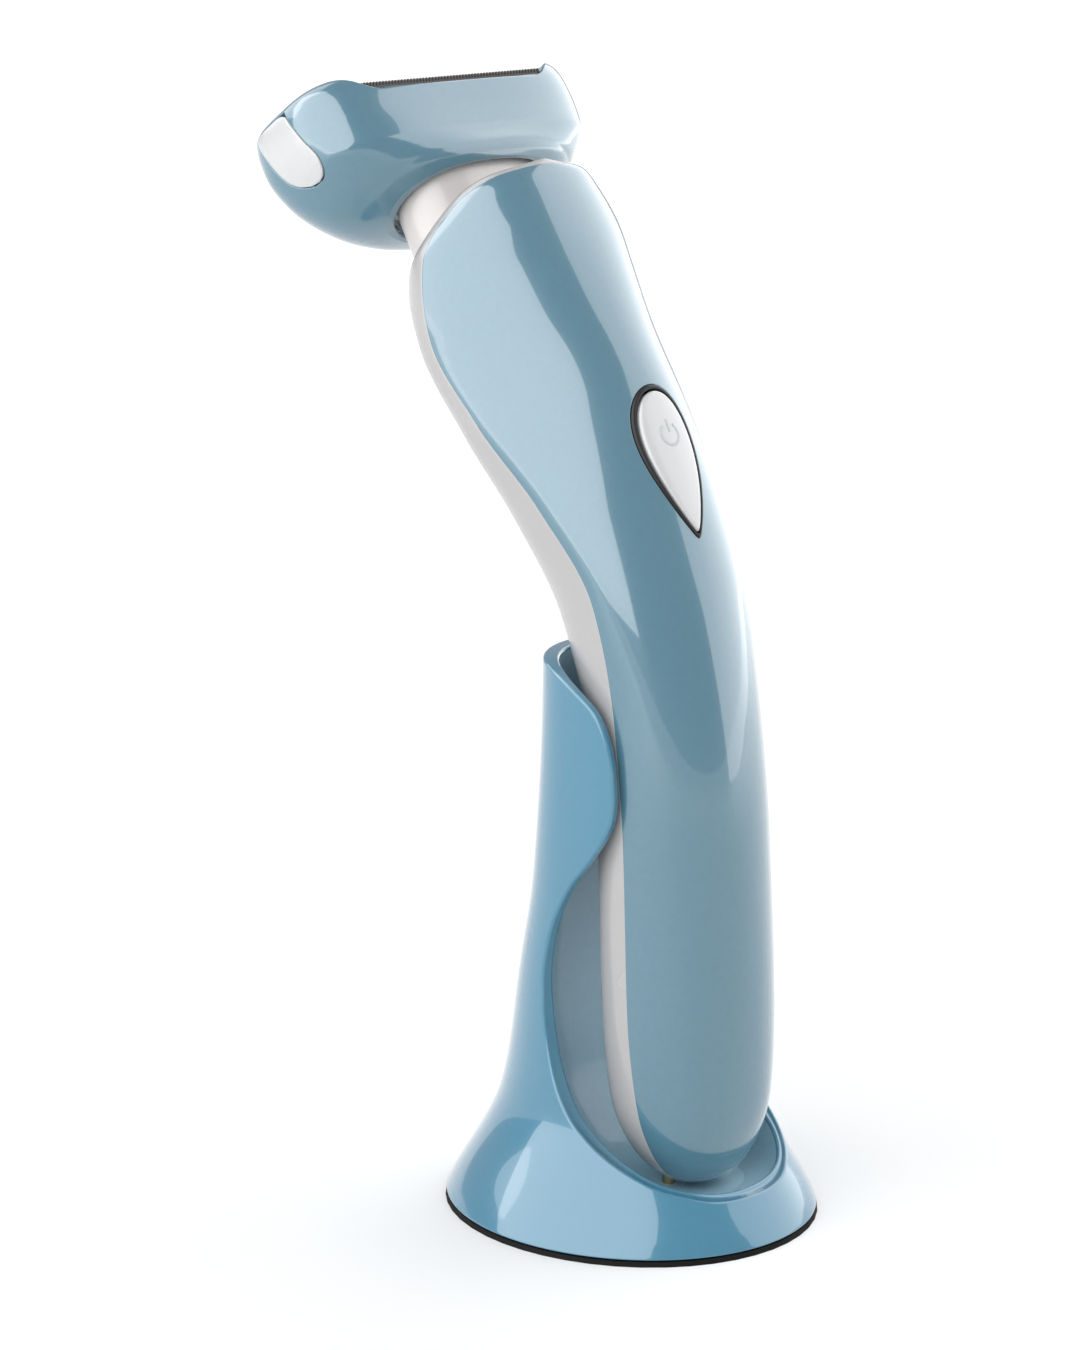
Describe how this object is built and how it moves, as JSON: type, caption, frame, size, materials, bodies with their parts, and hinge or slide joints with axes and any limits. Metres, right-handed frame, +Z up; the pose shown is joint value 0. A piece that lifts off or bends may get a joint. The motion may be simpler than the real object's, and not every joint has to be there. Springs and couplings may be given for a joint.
{
  "type": "body groomer in a charging stand",
  "caption": "Slim curved cordless ladies' shaver with a wide tilted foil head and pop-up trimmer edges, lifted out of an open-fronted charging stand with a flared weighted base.",
  "frame": {"origin": "centre of the stand's footprint, on the surface it stands on", "axes": "+Z up and the longest extent; -Y is the side with the power button and the stand's open front; +Y is the side the shaving head leans to; X is the width of the head"},
  "size_m": [0.0566, 0.0915, 0.1762],
  "materials": {
    "stand_plastic": "gloss",
    "blue_plastic": "gloss",
    "white_plastic": "satin",
    "inner_plastic": "matte",
    "black_plastic": "gloss",
    "switch_plastic": "matte",
    "rubber": "matte",
    "ballast_iron": "rough",
    "bright_steel": "fine brushed",
    "dark_steel": "satin",
    "contact_metal": "polished",
    "circuit_board": "matte",
    "battery_wrap": "wrapped"
  },
  "bodies": {
    "stand": {"stand_shell": "stand_plastic", "rubber_foot": "rubber", "base_plate": "inner_plastic", "ballast_plate": "ballast_iron", "charging_board": "circuit_board", "power_inlet": "black_plastic", "inlet_pin": "contact_metal", "base_screw_1": "bright_steel", "base_screw_2": "bright_steel", "base_screw_3": "bright_steel", "base_screw_4": "bright_steel"},
    "pin_left": {"charge_pin_left": "contact_metal"},
    "pin_right": {"charge_pin_right": "contact_metal"},
    "razor": {"front_shell": "blue_plastic", "rear_shell": "white_plastic", "button_bezel": "black_plastic", "neck_collar": "white_plastic", "neck_seal": "rubber", "battery_cell": "battery_wrap", "battery_tab_top": "bright_steel", "battery_tab_bottom": "bright_steel", "battery_cradle": "inner_plastic", "tact_switch": "switch_plastic", "control_board": "circuit_board", "charge_contact_left": "contact_metal", "charge_contact_right": "contact_metal", "motor_can": "bright_steel", "motor_bracket": "inner_plastic", "head_housing": "blue_plastic", "latch_spring_left": "bright_steel", "latch_spring_right": "bright_steel"},
    "button": {"power_button": "white_plastic"},
    "release_left": {"release_button_left": "white_plastic"},
    "release_right": {"release_button_right": "white_plastic"},
    "cassette": {"cassette_frame": "blue_plastic", "front_comb": "dark_steel", "rear_comb": "dark_steel"},
    "foil": {"foil": "bright_steel"},
    "trimmers": {"front_trimmer_blade": "dark_steel", "rear_trimmer_blade": "dark_steel"},
    "cutter": {"drive_slider": "inner_plastic", "inner_cutter": "bright_steel"},
    "rotor": {"motor_shaft": "bright_steel", "eccentric_wheel": "inner_plastic"}
  },
  "joints": [
    {"name": "pin_left_press", "type": "slide", "parent": "stand", "child": "pin_left", "axis": [0, 0, -1], "range_m": [0, 0.0008], "stiffness_N_per_m": 300},
    {"name": "pin_right_press", "type": "slide", "parent": "stand", "child": "pin_right", "axis": [0, 0, -1], "range_m": [0, 0.0008], "stiffness_N_per_m": 300},
    {"name": "razor_lift", "type": "slide", "parent": "stand", "child": "razor", "axis": [0, 0, 1], "range_m": [0, 0.12]},
    {"name": "power_button_press", "type": "slide", "parent": "razor", "child": "button", "axis": [0, 0.9013, -0.4331], "range_m": [0, 0.0006], "stiffness_N_per_m": 1500},
    {"name": "release_left_press", "type": "slide", "parent": "razor", "child": "release_left", "axis": [1, 0, 0], "range_m": [0, 0.0015], "stiffness_N_per_m": 1000, "deforming": ["latch_spring_left"]},
    {"name": "release_right_press", "type": "slide", "parent": "razor", "child": "release_right", "axis": [-1, 0, 0], "range_m": [0, 0.0015], "stiffness_N_per_m": 1000, "deforming": ["latch_spring_right"]},
    {"name": "cassette_pull", "type": "slide", "parent": "razor", "child": "cassette", "axis": [0, 0.5592, 0.829], "range_m": [0, 0.03]},
    {"name": "foil_float", "type": "slide", "parent": "cassette", "child": "foil", "axis": [0, -0.5592, -0.829], "range_m": [0, 0.0006], "stiffness_N_per_m": 1000},
    {"name": "cutter_stroke", "type": "slide", "parent": "razor", "child": "cutter", "axis": [1, 0, 0], "range_m": [-0.0008, 0.0008], "stiffness_N_per_m": 200},
    {"name": "trimmer_stroke", "type": "slide", "parent": "cassette", "child": "trimmers", "axis": [1, 0, 0], "range_m": [-0.0008, 0.0008]},
    {"name": "motor_spin", "type": "hinge", "parent": "razor", "child": "rotor", "pos_m": [0, 0.02055, 0.13288], "axis": [0, 0.5592, 0.829], "continuous": true}
  ],
  "couplings": [
    {"joint": "trimmer_stroke", "follows": "cutter_stroke", "ratio": 1}
  ]
}
